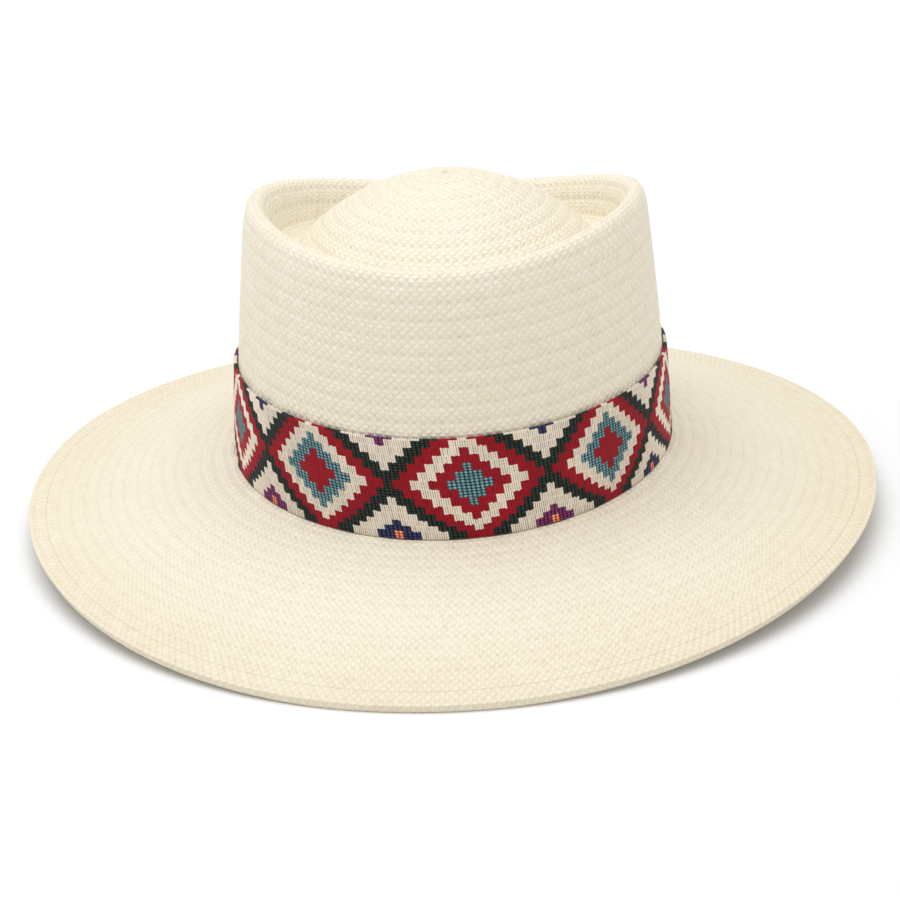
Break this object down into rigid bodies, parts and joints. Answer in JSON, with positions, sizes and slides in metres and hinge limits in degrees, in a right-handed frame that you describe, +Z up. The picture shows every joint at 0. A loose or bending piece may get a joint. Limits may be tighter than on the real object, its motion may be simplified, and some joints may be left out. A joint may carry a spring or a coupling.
{
  "type": "straw gambler hat",
  "caption": "Wide-brimmed straw hat with a round ridge around a domed crown top, an upswept brim with a folded hem, and a patterned woven band; worn on the head.",
  "frame": {"origin": "on the table, under the middle of the brim", "axes": "+Z up, -Y to the front of the hat, +X to its right in a view from the front"},
  "size_m": [0.3274, 0.3784, 0.1271],
  "materials": {
    "straw": "fine ivory woven straw, matte, with raised rows that run around the crown and brim",
    "band_textile": "thick woven cotton band with stepped diamonds in red, cream, dark green and teal"
  },
  "bodies": {
    "root": {"straw_body": "straw", "hat_band": "band_textile"}
  },
  "joints": []
}
